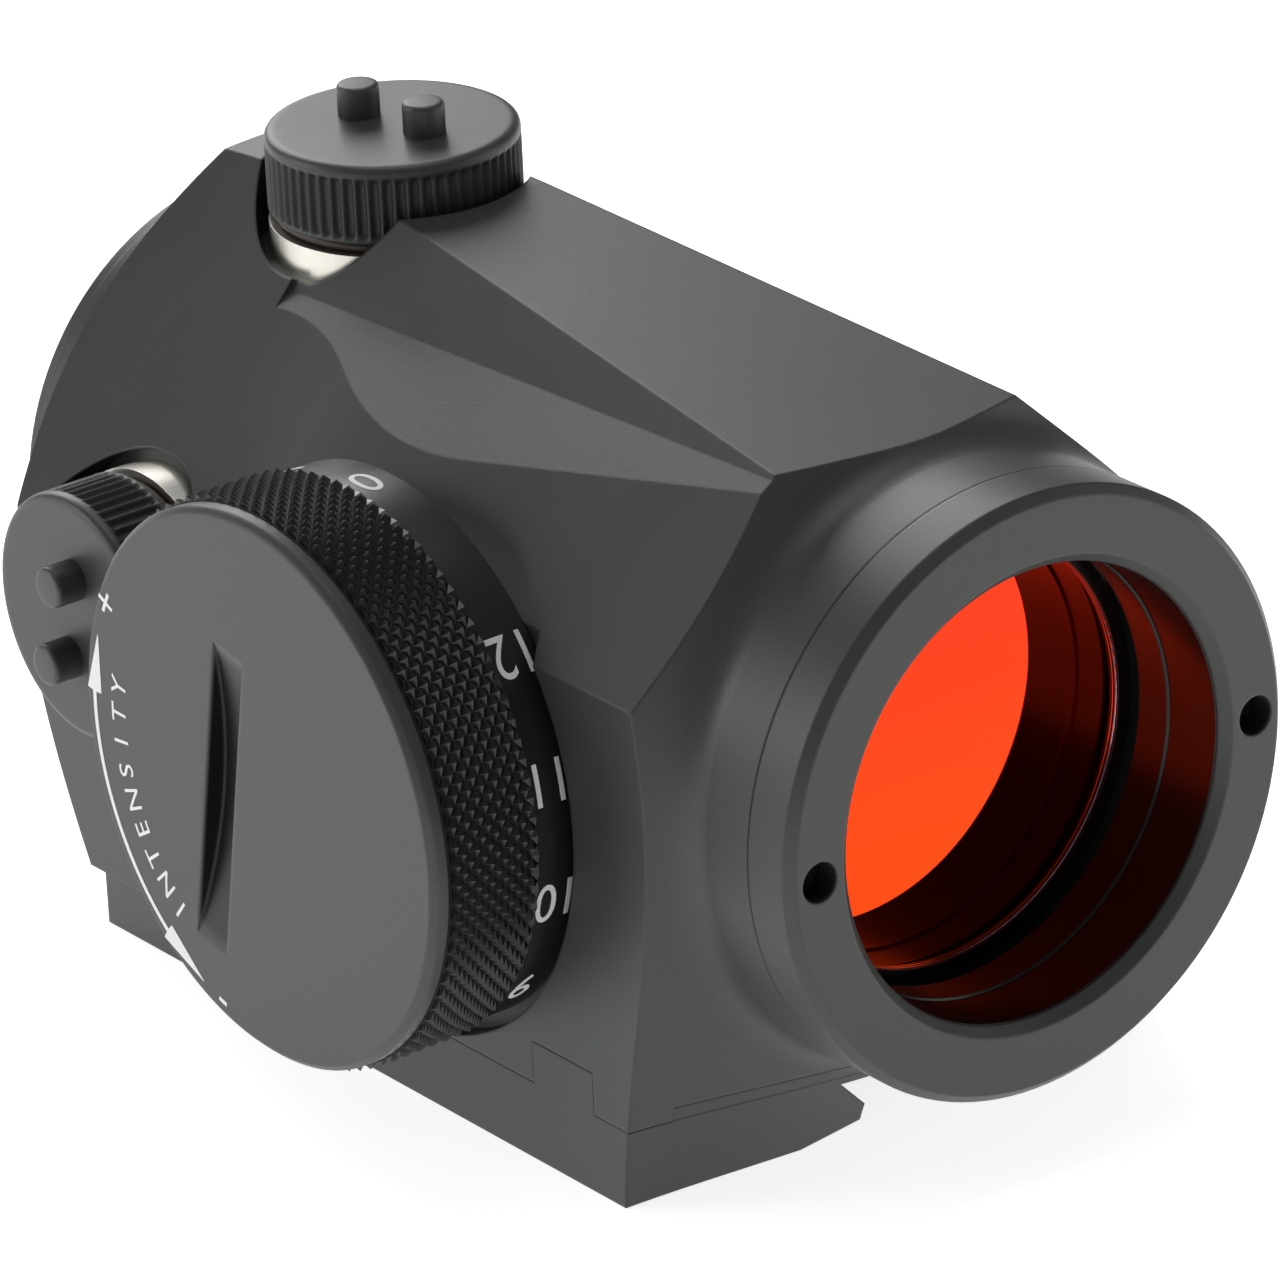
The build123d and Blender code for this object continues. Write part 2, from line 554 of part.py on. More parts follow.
# ---------------------------------------------------------------- turrets
for name, plane in TURRETS.items():
    with BuildPart() as insert:
        disc(plane, INSERT_RADIUS, POCKET_FLOOR, INSERT_TOP)
        disc(plane, 5.0, INSERT_TOP, 18.6)
        disc(plane, 2.95, POCKET_FLOOR, 18.6, Mode.SUBTRACT)
        disc(plane, 3.95, 15.6, 18.6, Mode.SUBTRACT)
    save(f"{name}_insert", insert.part)

    with BuildPart() as adjuster:
        disc(plane, 2.9, POCKET_FLOOR + GAP, 15.65)
        disc(plane, 3.9, 15.65, 18.0)
        disc(plane, PLUNGER_RADIUS + RUN, POCKET_FLOOR, 16.1, Mode.SUBTRACT)
        spots(plane, [(-TURRET_PIN_OFFSET, 0), (TURRET_PIN_OFFSET, 0)], 1.1, 16.6, 18.0, Mode.SUBTRACT)
    save(f"{name}_adjuster", adjuster.part)

    with BuildPart() as plunger:
        disc(plane, PLUNGER_RADIUS, TUBE_RADIUS + GAP, 15.4)
    save(f"{name}_plunger", plunger.part)

    with BuildPart() as cap_seal:
        seal(plane, 5.7, 0.27, (INSERT_TOP + TURRET_CAP_LOW) / 2)
    save(f"{name}_cap_seal", cap_seal.part)

    tilt = radians(TURRET_PIN_TILTS[name])
    pins = [(side * TURRET_PIN_OFFSET * cos(tilt), side * TURRET_PIN_OFFSET * sin(tilt)) for side in (-1, 1)]
    with BuildPart() as cap:
        disc(plane, TURRET_CAP_RADIUS, TURRET_CAP_LOW, TURRET_CAP_TOP)
        chamfer(cap.edges().filter_by(GeomType.CIRCLE).sort_by(plane_axis(plane))[-1], 0.4)
        disc(plane, 5.0 + RUN, TURRET_CAP_LOW, 18.8, Mode.SUBTRACT)
        spots(plane, pins, TURRET_PIN_RADIUS, TURRET_CAP_TOP - 0.6, TURRET_CAP_TOP, Mode.SUBTRACT)
    save(f"{name}_cap", cap.part)

    for count, place in enumerate(pins, 1):
        with BuildPart() as cap_pin:
            spots(plane, [place], TURRET_PIN_RADIUS, TURRET_CAP_TOP - 0.6, TURRET_CAP_TOP + TURRET_PIN_HEIGHT)
        save(f"{name}_cap_pin_{count}", cap_pin.part)

# ---------------------------------------------------------------- intensity knob
with BuildPart() as intensity_knob:
    disc(KNOB, BAND_RADIUS, KNOB_IN, BAND_OUT)
    disc(KNOB, KNOB_RADIUS, BAND_OUT, KNOB_OUT)
    disc(KNOB, 12.25, CAP_SKIRT_LOW - 0.1, KNOB_OUT, Mode.SUBTRACT)
    disc(KNOB, BATTERY_RADIUS + 0.15, BATTERY_LOW - 0.3, KNOB_OUT, Mode.SUBTRACT)
    disc(KNOB, 6.0, 17.0, KNOB_OUT, Mode.SUBTRACT)
    disc(KNOB, SPINDLE_RADIUS + RUN, KNOB_IN, KNOB_OUT, Mode.SUBTRACT)
    collar(KNOB, 8.3, 5.2, KNOB_IN, 16.2, Mode.SUBTRACT)
    with BuildSketch(KNOB.offset(KNOB_IN)):
        with PolarLocations(abs(Vector(*DETENT_PLACE)), DETENTS, start_angle=225):
            Circle(0.75)
    extrude(amount=0.35, mode=Mode.SUBTRACT)
save("intensity_knob", intensity_knob.part)

with BuildPart() as knob_spindle:
    disc(KNOB, SPINDLE_RADIUS, 12.7, 17.9)
    disc(KNOB, 3.5, BOARD_FLOOR, 14.4)
    collar(KNOB, 3.4, 1.95, 17.1, 17.5, Mode.SUBTRACT)
save("knob_spindle", knob_spindle.part)

with BuildPart() as knob_clip:
    collar(KNOB, 3.7, 1.97, 17.15, 17.45)
    with BuildSketch(KNOB.offset(17)):
        with Locations((0, -2.5)):
            Rectangle(2.6, 5.0)
    extrude(amount=1, mode=Mode.SUBTRACT)
save("knob_clip", knob_clip.part)

with BuildPart() as switch_board:
    collar(KNOB, BOARD_RADIUS - 0.1, 3.6, 14.5, 15.3)
save("switch_board", switch_board.part)

with BuildPart() as contact_wiper:
    collar(KNOB, 8.2, 5.3, 15.9, 16.2)
    spots(KNOB, [(-6.7, 0), (6.7, 0)], 0.6, 15.36, 15.9)
save("contact_wiper", contact_wiper.part)

with BuildPart() as battery_contact:
    collar(KNOB, 9.0, 4.5, 18.7, 18.95)
save("battery_contact", battery_contact.part)

with BuildPart() as detent_ball:
    with Locations(KNOB.offset(POCKET_IN - BALL_RADIUS)):
        with Locations(DETENT_PLACE):
            Sphere(BALL_RADIUS)
save("detent_ball", detent_ball.part)

with BuildPart() as detent_spring:
    with Locations(KNOB.offset(9.6)):
        with Locations(DETENT_PLACE):
            Cylinder(0.8, 4.0, align=(Align.CENTER, Align.CENTER, Align.MIN))
            Cylinder(0.5, 4.0, align=(Align.CENTER, Align.CENTER, Align.MIN), mode=Mode.SUBTRACT)
save("detent_spring", detent_spring.part)

with BuildPart() as battery:
    disc(KNOB, BATTERY_RADIUS, BATTERY_LOW, BATTERY_LOW + BATTERY_HEIGHT - 0.3)
    disc(KNOB, BATTERY_RADIUS - 1.4, BATTERY_LOW, BATTERY_LOW + BATTERY_HEIGHT)
save("battery", battery.part)

with BuildPart() as battery_cap:
    disc(KNOB, CAP_RADIUS, KNOB_OUT, CAP_FACE)
    chamfer(battery_cap.edges().filter_by(GeomType.CIRCLE).sort_by(plane_axis(KNOB))[-1], 0.3)
    disc(KNOB, 12.2, CAP_SKIRT_LOW, KNOB_OUT)
    disc(KNOB, 10.6, CAP_SKIRT_LOW, 22.3, Mode.SUBTRACT)
    collar(KNOB, 13, 11.66, 22.15, 22.75, Mode.SUBTRACT)
    slot_reach = (SLOT_LENGTH**2 / 4 + SLOT_DEPTH**2) / (2 * SLOT_DEPTH)
    slot_middle = KNOB.offset(CAP_FACE - SLOT_DEPTH + slot_reach).from_local_coords((*SLOT_CENTRE, 0))
    across = Vector(0, -cos(radians(SLOT_TILT)), -sin(radians(SLOT_TILT)))
    with BuildSketch(Plane(origin=slot_middle, z_dir=across).offset(-SLOT_WIDTH / 2)):
        Circle(slot_reach)
    extrude(amount=SLOT_WIDTH, mode=Mode.SUBTRACT)
save("battery_cap", battery_cap.part)

with BuildPart() as battery_cap_seal:
    seal(KNOB, 11.93, 0.26, 22.45)
save("battery_cap_seal", battery_cap_seal.part)
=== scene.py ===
"""Looks of a compact tube red dot sight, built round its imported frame.

Frame: metres, +Y towards the eye, +X to the right, +Z up, origin in the rail seat.
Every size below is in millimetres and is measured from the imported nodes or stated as
a field of the sub-assembly that owns it.
"""

from __future__ import annotations

import logging
import math
from dataclasses import dataclass, field
from enum import Enum
from typing import Callable, Sequence

import bmesh
import bpy
import numpy as np
from mathutils import Matrix, Vector


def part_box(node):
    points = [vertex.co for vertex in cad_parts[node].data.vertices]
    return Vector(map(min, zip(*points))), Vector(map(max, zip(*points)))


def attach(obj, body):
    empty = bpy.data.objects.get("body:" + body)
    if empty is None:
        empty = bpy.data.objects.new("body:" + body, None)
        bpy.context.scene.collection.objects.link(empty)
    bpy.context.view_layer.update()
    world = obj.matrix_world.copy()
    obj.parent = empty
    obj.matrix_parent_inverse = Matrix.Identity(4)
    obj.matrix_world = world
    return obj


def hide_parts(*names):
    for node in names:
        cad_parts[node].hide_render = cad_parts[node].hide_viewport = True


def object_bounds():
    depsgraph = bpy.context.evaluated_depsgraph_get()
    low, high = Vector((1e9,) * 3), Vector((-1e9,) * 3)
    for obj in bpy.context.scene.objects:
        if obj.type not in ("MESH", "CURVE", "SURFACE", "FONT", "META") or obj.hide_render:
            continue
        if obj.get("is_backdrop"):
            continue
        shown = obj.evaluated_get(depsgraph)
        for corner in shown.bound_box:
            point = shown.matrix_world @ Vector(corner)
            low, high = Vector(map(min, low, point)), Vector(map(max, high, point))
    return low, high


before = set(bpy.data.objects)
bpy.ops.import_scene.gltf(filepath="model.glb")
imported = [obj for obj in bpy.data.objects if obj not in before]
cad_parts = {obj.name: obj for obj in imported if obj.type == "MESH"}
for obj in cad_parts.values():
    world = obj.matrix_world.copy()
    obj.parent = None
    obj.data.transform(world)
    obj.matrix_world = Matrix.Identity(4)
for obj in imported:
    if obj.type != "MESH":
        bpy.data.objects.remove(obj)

Array = np.ndarray
MM = 0.001
TURN = 2 * math.pi
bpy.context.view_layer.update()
log = logging.getLogger("red_dot_sight")


# ------------------------------------------------------------------ places
@dataclass(frozen=True)
class Turntable:
    """A turning axis with its own sketch plane; all its numbers are millimetres."""

    origin: Array
    side: Array
    up: Array
    out: Array

    def place(self, x: Array, y: Array, height: Array) -> Array:
        """World points, in metres, of sketch points (x, y) at a height along the axis."""
        x, y, height = np.broadcast_arrays(x, y, height)
        parts = (x[..., None] * self.side, y[..., None] * self.up, height[..., None] * self.out)
        return (self.origin + sum(parts)) * MM

    def polar(self, radius: Array, angle: Array, height: Array) -> Array:
        """World points, in metres, of polar sketch points at a height along the axis."""
        return self.place(radius * np.cos(angle), radius * np.sin(angle), height)


def node_box(node: str) -> tuple[Array, Array]:
    """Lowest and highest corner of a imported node, in millimetres."""
    low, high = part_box(node)
    return np.array(low) / MM, np.array(high) / MM


def optical_table() -> Turntable:
    """The optical axis: heights run back from the front face of the objective ring."""
    low, high = node_box("front_ring")
    middle = (low + high) / 2
    origin = np.array([middle[0], low[1], middle[2]])
    return Turntable(origin, np.array([-1.0, 0, 0]), np.array([0, 0, 1.0]), np.array([0, 1.0, 0]))


OPTIC = optical_table()


def side_table(node: str) -> Turntable:
    """Axis of a round node on the left side; heights run outwards from the optical axis."""
    low, high = node_box(node)
    middle = (low + high) / 2
    origin = np.array([OPTIC.origin[0], middle[1], middle[2]])
    return Turntable(origin, np.array([0, -1.0, 0]), np.array([0, 0, 1.0]), np.array([-1.0, 0, 0]))


def top_table(node: str) -> Turntable:
    """Axis of a round node on the top; heights run upwards from the optical axis."""
    low, high = node_box(node)
    middle = (low + high) / 2
    origin = np.array([middle[0], middle[1], OPTIC.origin[2]])
    return Turntable(origin, np.array([0, -1.0, 0]), np.array([1.0, 0, 0]), np.array([0, 0, 1.0]))


# ------------------------------------------------------------------ meshes
def mesh_object(
    name: str, points: Array, faces: Sequence[Sequence[int]], smooth: bool = True
) -> bpy.types.Object:
    """Make a mesh object at the origin.

    Args:
        name: Name of the piece.
        points: (n, 3) vertices in metres.
        faces: Vertex numbers of each face.
        smooth: Whether faces are shaded smooth.
    Returns:
        The new object, linked to the scene.
    """
    mesh = bpy.data.meshes.new(name)
    mesh.from_pydata(points.reshape(-1, 3).tolist(), [], faces)
    mesh.polygons.foreach_set("use_smooth", np.full(len(mesh.polygons), smooth))
    mesh.validate()
    mesh.update()
    piece = bpy.data.objects.new(name, mesh)
    bpy.context.scene.collection.objects.link(piece)
    return piece


def grid_faces(rows: int, columns: int, wrap: bool) -> Array:
    """Quads of a grid whose columns may join into a ring.

    Args:
        rows: Points along the profile.
        columns: Points round the ring.
        wrap: Whether the last column joins the first.
    Returns:
        (n, 4) vertex numbers, with vertex (row, column) at row * columns + column.
    """
    across = columns if wrap else columns - 1
    row, column = np.meshgrid(np.arange(rows - 1), np.arange(across), indexing="ij")
    beside = (column + 1) % columns
    near, far = row * columns, (row + 1) * columns
    return np.stack((near + column, near + beside, far + beside, far + column), axis=-1).reshape(-1, 4)


def rounded_profile(points: Sequence[tuple[float, float, float]], steps: int = 6) -> Array:
    """Round the corners of a (radius, height, corner radius) outline.

    Each corner becomes a quadratic curve that starts and ends one corner radius away from
    it along its two sides: (1-t)^2 A + 2t(1-t) B + t^2 C.

    Args:
        points: Outline points with the rounding wanted at each.
        steps: Points along each rounded corner.
    Returns:
        (n, 2) radius and height along the outline.
    """
    outline = np.array(points, float)
    result: list[Array] = []
    for index, (radius, height, rounding) in enumerate(outline):
        corner = np.array([radius, height])
        if rounding <= 0 or index in (0, len(outline) - 1):
            result.append(corner[None])
            continue
        to_last, to_next = outline[index - 1, :2] - corner, outline[index + 1, :2] - corner
        start = corner + to_last / np.linalg.norm(to_last) * rounding
        end = corner + to_next / np.linalg.norm(to_next) * rounding
        t = np.linspace(0, 1, steps)[:, None]
        result.append((1 - t) ** 2 * start + 2 * t * (1 - t) * corner + t**2 * end)
    return np.concatenate(result)


def dense_profile(profile: Array, step: float) -> Array:
    """Add points along a profile so that none lie further apart than a step."""
    result = [profile[:1]]
    for start, end in zip(profile[:-1], profile[1:]):
        count = max(1, math.ceil(np.linalg.norm(end - start) / step))
        result.append(start + (end - start) * np.linspace(0, 1, count + 1)[1:, None])
    return np.concatenate(result)


Ripple = Callable[[Array, Array, Array], Array]
Wrap = Callable[[Array, Array, float], Array]


def turned(
    name: str, table: Turntable, profile: Array, around: int = 192, ripple: Ripple | None = None
) -> bpy.types.Object:
    """Turn a profile about an axis: point (r, h) sweeps r(cos a, sin a) at height h.

    Args:
        name: Name of the piece.
        table: Axis to turn about.
        profile: (n, 2) radius and height; a closed ring profile repeats its first point,
            and a solid's profile starts and ends at radius 0.
        around: Points round the axis.
        ripple: Optional change of radius as a function of radius, angle and height.
    Returns:
        The new piece.
    """
    angle = np.linspace(0, TURN, around, endpoint=False)
    closed = bool(np.allclose(profile[0], profile[-1]))
    rows = profile[:-1] if closed else profile
    poles = not closed and rows[0, 0] == 0 and rows[-1, 0] == 0
    rings = rows[1:-1] if poles else rows
    radius, turn = np.meshgrid(rings[:, 0], angle, indexing="ij")
    height = np.repeat(rings[:, 1:], around, axis=1)
    if ripple is not None:
        radius = radius + ripple(radius, turn, height)
    points = table.polar(radius, turn, height).reshape(-1, 3)
    faces = grid_faces(len(rings) + closed, around, True)
    faces = (faces % (len(rings) * around)).tolist()
    if poles:
        first, last = len(points), len(points) + 1
        ends = table.place(np.zeros(2), np.zeros(2), rows[[0, -1], 1])
        points = np.concatenate([points, ends])
        step = np.arange(around)
        beside = (step + 1) % around
        top = (len(rings) - 1) * around
        faces += np.stack([beside, step, np.full(around, first)], axis=1).tolist()
        faces += np.stack([step + top, beside + top, np.full(around, last)], axis=1).tolist()
    piece = mesh_object(name, points, faces)
    face_outwards(piece)
    return piece


def vertex_places(mesh: bpy.types.Mesh) -> Array:
    """(n, 3) places of a mesh's vertices."""
    places = np.empty(len(mesh.vertices) * 3)
    mesh.vertices.foreach_get("co", places)
    return places.reshape(-1, 3)


def face_outwards(piece: bpy.types.Object) -> None:
    """Turn a closed mesh's faces so that its signed volume is positive."""
    mesh = piece.data
    mesh.calc_loop_triangles()
    corners = np.empty(len(mesh.loop_triangles) * 3, int)
    mesh.loop_triangles.foreach_get("vertices", corners)
    a, b, c = vertex_places(mesh)[corners].reshape(-1, 3, 3).transpose(1, 0, 2)
    if np.einsum("ij,ij->i", a, np.cross(b, c)).sum() < 0:
        mesh.flip_normals()


def soften_by_angle(piece: bpy.types.Object, degrees: float = 35.0) -> None:
    """Mark edges sharper than an angle so that they stay crisp under smooth shading."""
    piece.data.set_sharp_from_angle(angle=math.radians(degrees))


# ------------------------------------------------------------------ shader wiring
class Wire:
    """A shader value whose Python operators add Math nodes."""

    def __init__(self, shader: "Shader", socket: bpy.types.NodeSocket) -> None:
        """Wrap an output socket of a shader."""
        self.shader = shader
        self.socket = socket

    def math(self, operation: str, *others: "Wire | float") -> "Wire":
        """Apply a Math node to this value and up to two others."""
        inputs = {index: value for index, value in enumerate((self, *others))}
        return self.shader.node("ShaderNodeMath", {"operation": operation}, inputs)

    def __add__(self, other: "Wire | float") -> "Wire":
        """Sum."""
        return self.math("ADD", other)

    __radd__ = __add__

    def __sub__(self, other: "Wire | float") -> "Wire":
        """Difference."""
        return self.math("SUBTRACT", other)

    def __rsub__(self, other: float) -> "Wire":
        """Difference from a number."""
        return self.math("MULTIPLY", -1.0) + other

    def __mul__(self, other: "Wire | float") -> "Wire":
        """Product."""
        return self.math("MULTIPLY", other)

    __rmul__ = __mul__

    def band(self, low: float, high: float) -> "Wire":
        """Run from 0 at low to 1 at high, clamped."""
        sockets = {"Value": self, "From Min": low, "From Max": high}
        return self.shader.node("ShaderNodeMapRange", {"interpolation_type": "SMOOTHSTEP"}, sockets)


class Shader:
    """A material under construction, with its Principled node as surface."""

    def __init__(self, name: str) -> None:
        """Start a material with a Principled surface."""
        self.material = bpy.data.materials.new(f"{name}_finish")
        self.material.use_nodes = True
        self.tree = self.material.node_tree
        self.surface = self.tree.nodes["Principled BSDF"]

    def node(
        self, kind: str, settings: dict | None = None, sockets: dict | None = None, output: int | str = 0
    ) -> Wire:
        """Add a node.

        Args:
            kind: Node type.
            settings: Properties, set before the sockets.
            sockets: Values or wires by socket name or number.
            output: Output socket that the wire stands for.
        Returns:
            A wire from the chosen output.
        """
        node = self.tree.nodes.new(kind)
        for key, value in (settings or {}).items():
            setattr(node, key, value)
        for key, value in (sockets or {}).items():
            self.feed(node.inputs[key], value)
        return Wire(self, node.outputs[output])

    def feed(self, socket: bpy.types.NodeSocket, value: "Wire | float | Sequence[float]") -> None:
        """Link a wire to a socket, or set its value."""
        if isinstance(value, Wire):
            self.tree.links.new(value.socket, socket)
        else:
            socket.default_value = value

    def set(self, **sockets: "Wire | float | Sequence[float]") -> None:
        """Feed the Principled node's sockets; underscores stand for spaces."""
        for key, value in sockets.items():
            self.feed(self.surface.inputs[key.replace("_", " ")], value)

    def position(self) -> Wire:
        """Object coordinates: metres in the sight's own frame."""
        return self.node("ShaderNodeTexCoord", output="Object")

    def part(self, vector: Wire, axis: str) -> Wire:
        """One component of a vector."""
        return self.node("ShaderNodeSeparateXYZ", {}, {"Vector": vector}, axis)

    def noise(self, size_mm: float, detail: float = 2.0, stretch: Sequence[float] = (1, 1, 1)) -> Wire:
        """Noise from 0 to 1 whose features are about a size in millimetres."""
        scale = [1 / (size_mm * MM) / s for s in stretch]
        spot = self.node("ShaderNodeMapping", {}, {"Vector": self.position(), "Scale": scale})
        return self.node("ShaderNodeTexNoise", {}, {"Vector": spot, "Scale": 1.0, "Detail": detail}, "Fac")

    def mix(self, factor: Wire, first: Sequence[float], second: Sequence[float]) -> Wire:
        """Blend two colours."""
        settings = {"data_type": "RGBA"}
        sockets = {"Factor": factor, 6: (*first, 1.0), 7: (*second, 1.0)}
        return self.node("ShaderNodeMix", settings, sockets, 2)

    def rounded_edges(self, radius_mm: float) -> Wire:
        """Normal that runs smoothly over edges within a radius."""
        return self.node("ShaderNodeBevel", {"samples": 6}, {"Radius": radius_mm * MM}, "Normal")

    def bump(self, height: Wire, depth_mm: float, normal: Wire | None = None) -> Wire:
        """Normal of a relief of some depth."""
        sockets = {"Height": height, "Distance": depth_mm * MM, "Strength": 1.0}
        if normal is not None:
            sockets["Normal"] = normal
        return self.node("ShaderNodeBump", {}, sockets, "Normal")


# ------------------------------------------------------------------ finishes
Colour = tuple[float, float, float]


@dataclass(frozen=True)
class BlastedAnodising:
    """Bead-blasted, dull anodised aluminium: fine speckle, softly rounded edges."""

    name: str
    colour: Colour = (0.05, 0.056, 0.049)
    roughness: float = 0.42
    metallic: float = 0.0
    speckle_mm: float = 0.11
    speckle_depth_mm: float = 0.006
    edge_mm: float = 0.22

    def build(self) -> bpy.types.Material:
        """Build the material."""
        shader = Shader(self.name)
        speckle = shader.noise(self.speckle_mm, 3.0)
        cloud = shader.noise(6.0, 2.0)
        light = tuple(min(1.0, c * 1.16) for c in self.colour)
        # Random tone times the painted shade that a subclass returns from shade; plain pieces keep all
        # their colour.
        tone_and_shade = (speckle * 0.4 + cloud * 0.2 + 0.4) * self.shade(shader)
        shader.set(Base_Color=shader.mix(tone_and_shade, (0.002, 0.002, 0.002), light))
        shader.set(Metallic=self.metallic, Roughness=self.roughness + (cloud - 0.5) * 0.08)
        shader.set(Normal=shader.bump(speckle, self.speckle_depth_mm, shader.rounded_edges(self.edge_mm)))
        return shader.material

    def shade(self, shader: Shader) -> Wire | float:
        """Share of the colour that a place keeps under painted shade; all of it on a plain piece."""
        return 1.0


@dataclass(frozen=True)
class SlottedCapAnodising(BlastedAnodising):
    """Anodising of the battery cap, with painted shade making it black inside its coin slot."""

    node: str = "battery_cap"
    slot_end_mm: float = 10.0
    slot_reach_mm: float = 10.5

    def shade(self, shader: Shader) -> Wire:
        """1 on the outer faces and 0 below the cap's face inside the slot's reach, painting the slot's
        shade.
        """
        low, high = node_box(self.node)
        middle = (low + high) / 2
        spot = shader.position()
        depth = shader.part(spot, "X") - low[0] * MM
        across = shader.part(spot, "Y") - middle[1] * MM
        above = shader.part(spot, "Z") - middle[2] * MM
        away = (across * across + above * above).math("SQRT")
        inside = 1 - away.band(self.slot_end_mm * MM, self.slot_reach_mm * MM)
        # Painted shade: the slot's floor and walls keep only 3 percent of the colour.
        return 1 - depth.band(0.03 * MM, 0.2 * MM) * inside * 0.97


@dataclass(frozen=True)
class SeamedAnodising(BlastedAnodising):
    """Anodising with a painted shadow line where the piece meets its neighbour, in place of the shade in
    the seam.
    """

    axis: str = "Y"
    place_mm: float = 0.0
    width_mm: float = 0.07

    def shade(self, shader: Shader) -> Wire:
        """Painted seam shadow: 0 within the width of the parting plane and 1 away from it."""
        away = (shader.part(shader.position(), self.axis) - self.place_mm * MM).math("ABSOLUTE")
        # Painted shade: a dark band a few hundredths of a millimetre wide along the seam.
        return 0.06 + away.band(self.width_mm * 0.5 * MM, self.width_mm * 1.3 * MM) * 0.94


@dataclass(frozen=True)
class KeyedAnodising(BlastedAnodising):
    """Anodising of the rail base with painted shadow lines along the outline of its top and recoil key."""

    node: str = "mount_base"
    shoulder_mm: float = 0.5
    key_front_mm: float = -17.7
    key_rear_mm: float = -13.1
    width_mm: float = 0.09

    def shade(self, shader: Shader) -> Wire:
        """Painted shadow lines: 0 near the shoulder's top, the key's top and the key's ends, 1 elsewhere.
        """
        spot = shader.position()
        height, along = shader.part(spot, "Z"), shader.part(spot, "Y")
        top = node_box(self.node)[1][2]
        half = self.width_mm * MM
        in_key = along.band(self.key_front_mm * MM, (self.key_front_mm + 0.02) * MM)
        in_key = in_key * (1 - along.band((self.key_rear_mm - 0.02) * MM, self.key_rear_mm * MM))
        edge = (height - self.shoulder_mm * MM).math("ABSOLUTE").band(half * 0.4, half)
        crest = (height - top * MM).math("ABSOLUTE").band(half * 0.4, half)
        ends = (along - self.key_front_mm * MM).math("ABSOLUTE").band(half * 0.4, half)
        ends = ends * (along - self.key_rear_mm * MM).math("ABSOLUTE").band(half * 0.4, half)
        raised = height.band((self.shoulder_mm - 0.02) * MM, (self.shoulder_mm + 0.02) * MM)
        # Painted shade: dark lines where the shoulder, the base's top and the key's ends meet their
        # neighbours.
        clear = (edge + in_key).math("MINIMUM", 1.0) * crest * (ends + (1 - raised)).math("MINIMUM", 1.0)
        return 0.06 + clear * 0.94


@dataclass(frozen=True)
class TurnedMetal:
    """Bright turned metal with fine tool rings about one of its axes."""

    name: str
    colour: Colour
    roughness: float = 0.26
    ring_mm: float = 0.05

    def build(self) -> bpy.types.Material:
        """Build the material."""
        shader = Shader(self.name)
        rings = shader.noise(self.ring_mm, 1.0, (40, 1, 40))
        stain = shader.noise(1.5, 3.0)
        shader.set(Base_Color=shader.mix(stain, tuple(c * 0.82 for c in self.colour), self.colour))
        shader.set(Metallic=1.0, Roughness=self.roughness + rings * 0.15)
        shader.set(Normal=shader.bump(rings, 0.002, shader.rounded_edges(0.05)))
        return shader.material


@dataclass(frozen=True)
class DullSolid:
    """Rubber, plastic, print or paint: one colour with a faint mottle."""

    name: str
    colour: Colour
    roughness: float = 0.6
    mottle: float = 0.12
    grain_mm: float = 0.2
    grain_depth_mm: float = 0.004
    coat: float = 0.0

    def build(self) -> bpy.types.Material:
        """Build the material."""
        shader = Shader(self.name)
        grain = shader.noise(self.grain_mm, 2.0)
        low = tuple(c * (1 - self.mottle) for c in self.colour)
        shader.set(Base_Color=shader.mix(grain, low, self.colour))
        shader.set(Roughness=self.roughness + (grain - 0.5) * 0.1, Coat_Weight=self.coat)
        shader.set(Normal=shader.bump(grain, self.grain_depth_mm))
        return shader.material


@dataclass(frozen=True)
class MirrorCoating:
    """Reflective dichroic film on glass, a little deeper in hue towards its top."""

    name: str
    low_colour: Colour
    high_colour: Colour
    roughness: float = 0.015

    def build(self) -> bpy.types.Material:
        """Build the material."""
        shader = Shader(self.name)
        height = shader.part(shader.position(), "Z")
        middle = OPTIC.origin[2] * MM
        rise = height.band(middle - 10 * MM, middle + 10 * MM)
        shader.set(Base_Color=shader.mix(rise, self.low_colour, self.high_colour), Metallic=1.0)
        shader.set(Roughness=self.roughness)
        return shader.material


@dataclass(frozen=True)
class ClearGlass:
    """Thin clear optical glass."""

    name: str
    tint: Colour = (0.93, 0.97, 0.97)

    def build(self) -> bpy.types.Material:
        """Build the material."""
        shader = Shader(self.name)
        haze = shader.noise(3.0, 2.0)
        shader.set(Base_Color=(*self.tint, 1.0), Roughness=haze * 0.02, IOR=1.5, Transmission_Weight=1.0)
        return shader.material


BUILT: dict[str, bpy.types.Material] = {}  # materials made so far, by finish


